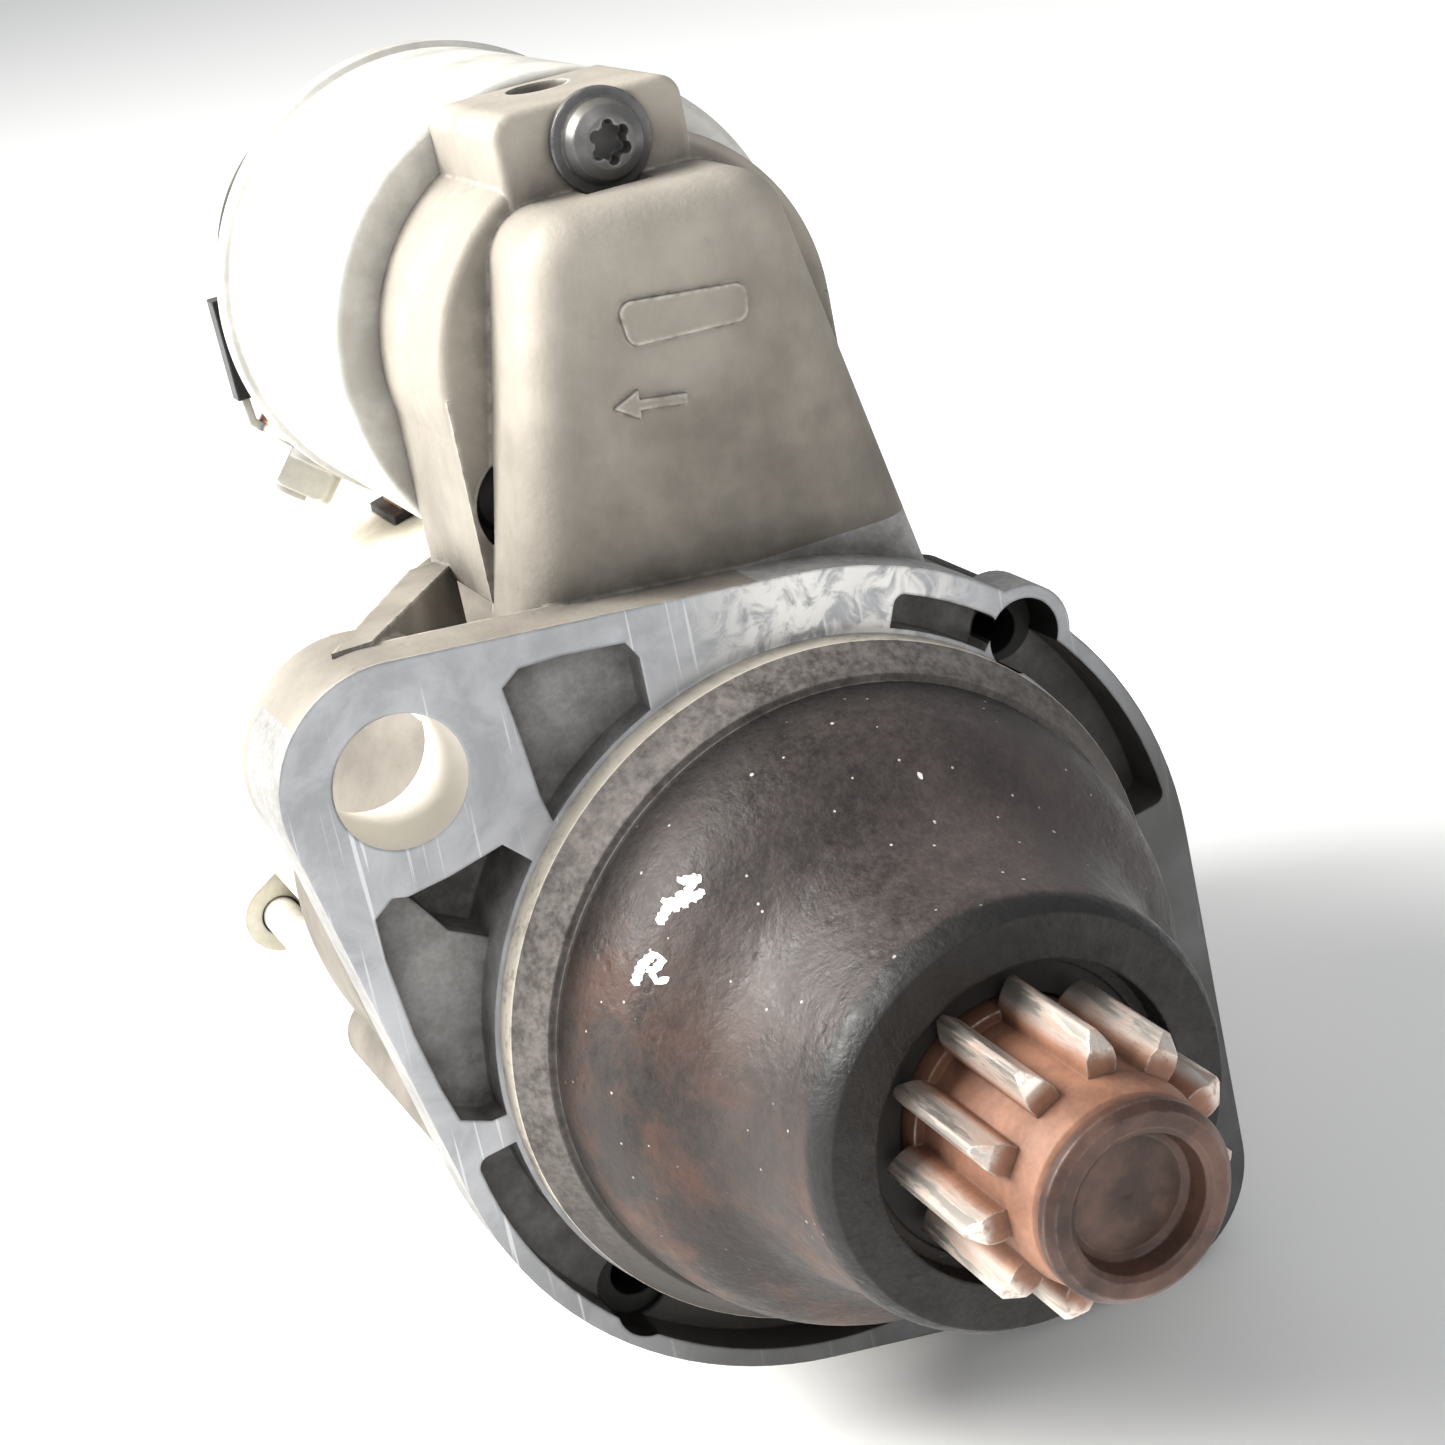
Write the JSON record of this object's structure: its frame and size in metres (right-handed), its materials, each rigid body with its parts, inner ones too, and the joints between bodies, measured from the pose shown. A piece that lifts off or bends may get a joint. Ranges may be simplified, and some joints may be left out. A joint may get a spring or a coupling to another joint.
{
  "type": "starter motor",
  "caption": "Geared starter motor with a solenoid above, a cast nose flange and a pinion that slides out and turns.",
  "frame": {"origin": "centre of the locating spigot in the plane of the mounting face", "axes": "-Y along the shaft out of the pinion, +Y back to the rear cover, +Z towards the solenoid, +X completes a right-handed frame"},
  "size_m": [0.096, 0.186, 0.1426],
  "materials": {
    "cast_alloy": "sand cast, machined mounting face",
    "plated_steel": "zinc plated",
    "painted_steel": "satin paint, dusty",
    "hardened_steel": "worn and lightly rusted",
    "cap_steel": "dark oxide",
    "ground_steel": "ground",
    "dark_steel": "phosphated",
    "spring_steel": "bright wire",
    "bronze": "sintered, oiled",
    "brass": "drawn",
    "copper": "bare",
    "enamelled_copper": "varnished",
    "carbon": "pressed carbon and copper",
    "ferrite": "sintered ferrite",
    "nylon": "moulded",
    "phenolic": "moulded",
    "rubber": "moulded",
    "sleeving": "extruded sleeve"
  },
  "bodies": {
    "housing": {"drive_housing": "cast_alloy", "nose_seal": "rubber", "nose_bearing": "ground_steel", "lever_pin": "ground_steel", "bearing_plate": "plated_steel", "output_bush": "bronze", "ring_gear": "nylon", "gear_guard": "plated_steel", "yoke": "painted_steel", "magnets": "ferrite", "brush_plate": "plated_steel", "brush_boxes": "brass", "brush_springs": "spring_steel", "rear_cover": "painted_steel", "rear_bush": "bronze", "through_bolts": "plated_steel", "lead_grommet": "rubber", "motor_lead": "copper", "link_strap": "plated_steel", "strap_sleeve": "sleeving", "solenoid_can": "plated_steel", "plunger_guide": "brass", "coil_bobbin": "nylon", "solenoid_winding": "enamelled_copper", "solenoid_core": "dark_steel", "solenoid_cap": "phenolic", "battery_stud": "copper", "motor_stud": "plated_steel", "terminal_nut": "plated_steel", "solenoid_screws": "dark_steel", "plunger_spring": "spring_steel"},
    "armature": {"armature_shaft": "ground_steel", "sun_gear": "dark_steel", "laminations": "dark_steel", "windings": "enamelled_copper", "commutator": "copper", "commutator_hub": "phenolic"},
    "output": {"output_shaft": "ground_steel", "planet_pins": "ground_steel", "pilot_bush": "bronze"},
    "planet_1": {"planet_gear_1": "dark_steel"},
    "planet_2": {"planet_gear_2": "dark_steel"},
    "planet_3": {"planet_gear_3": "dark_steel"},
    "drive": {"clutch_shell": "dark_steel", "clutch_rollers": "ground_steel", "clutch_springs": "spring_steel", "clutch_cover": "plated_steel"},
    "pinion": {"pinion": "hardened_steel", "pinion_cap": "cap_steel", "pinion_bushes": "bronze"},
    "lever": {"fork_lever": "nylon"},
    "plunger": {"plunger": "ground_steel", "hook_rod": "plated_steel", "contact_rod": "ground_steel", "contact_disc": "copper", "contact_collar": "phenolic"},
    "brush_1": {"brush_1": "carbon"},
    "brush_2": {"brush_2": "carbon"},
    "brush_3": {"brush_3": "carbon"},
    "brush_4": {"brush_4": "carbon"}
  },
  "joints": [
    {"name": "armature_spin", "type": "hinge", "parent": "housing", "child": "armature", "pos_m": [0, 0, 0], "axis": [0, 1, 0], "continuous": true},
    {"name": "output_spin", "type": "hinge", "parent": "housing", "child": "output", "pos_m": [0, 0, 0], "axis": [0, 1, 0], "continuous": true},
    {"name": "planet_1_spin", "type": "hinge", "parent": "output", "child": "planet_1", "pos_m": [0.0165, 0.06, 0], "axis": [0, 1, 0], "continuous": true},
    {"name": "planet_2_spin", "type": "hinge", "parent": "output", "child": "planet_2", "pos_m": [-0.00825, 0.06, 0.01429], "axis": [0, 1, 0], "continuous": true},
    {"name": "planet_3_spin", "type": "hinge", "parent": "output", "child": "planet_3", "pos_m": [-0.00825, 0.06, -0.01429], "axis": [0, 1, 0], "continuous": true},
    {"name": "plunger_slide", "type": "slide", "parent": "housing", "child": "plunger", "axis": [0, 1, 0], "range_m": [0, 0.009], "stiffness_N_per_m": 2500, "springref_m": -0.004, "deforming": ["plunger_spring"]},
    {"name": "drive_slide", "type": "slide", "parent": "output", "child": "drive", "axis": [0, -1, 0], "range_m": [0, 0.0121]},
    {"name": "pinion_overrun", "type": "hinge", "parent": "drive", "child": "pinion", "pos_m": [0, 0, 0], "axis": [0, 1, 0], "continuous": true},
    {"name": "lever_swing", "type": "hinge", "parent": "housing", "child": "lever", "pos_m": [0, 0.024, 0.0372], "axis": [-1, 0, 0], "range_deg": [0, 18.58]},
    {"name": "brush_1_slide", "type": "slide", "parent": "housing", "child": "brush_1", "axis": [1, 0, 0], "range_m": [0, 0.001], "stiffness_N_per_m": 500, "springref_m": -0.003, "deforming": ["brush_springs"]},
    {"name": "brush_2_slide", "type": "slide", "parent": "housing", "child": "brush_2", "axis": [0, 0, 1], "range_m": [0, 0.001], "stiffness_N_per_m": 500, "springref_m": -0.003, "deforming": ["brush_springs"]},
    {"name": "brush_3_slide", "type": "slide", "parent": "housing", "child": "brush_3", "axis": [-1, 0, 0], "range_m": [0, 0.001], "stiffness_N_per_m": 500, "springref_m": -0.003, "deforming": ["brush_springs"]},
    {"name": "brush_4_slide", "type": "slide", "parent": "housing", "child": "brush_4", "axis": [0, 0, -1], "range_m": [0, 0.001], "stiffness_N_per_m": 500, "springref_m": -0.003, "deforming": ["brush_springs"]}
  ],
  "couplings": [
    {"joint": "output_spin", "follows": "armature_spin", "ratio": 0.2},
    {"joint": "planet_1_spin", "follows": "armature_spin", "ratio": -0.53333},
    {"joint": "planet_2_spin", "follows": "armature_spin", "ratio": -0.53333},
    {"joint": "planet_3_spin", "follows": "armature_spin", "ratio": -0.53333},
    {"joint": "drive_slide", "follows": "plunger_slide", "ratio": 1.3333},
    {"joint": "lever_swing", "follows": "plunger_slide", "rad_per_m": 36}
  ]
}
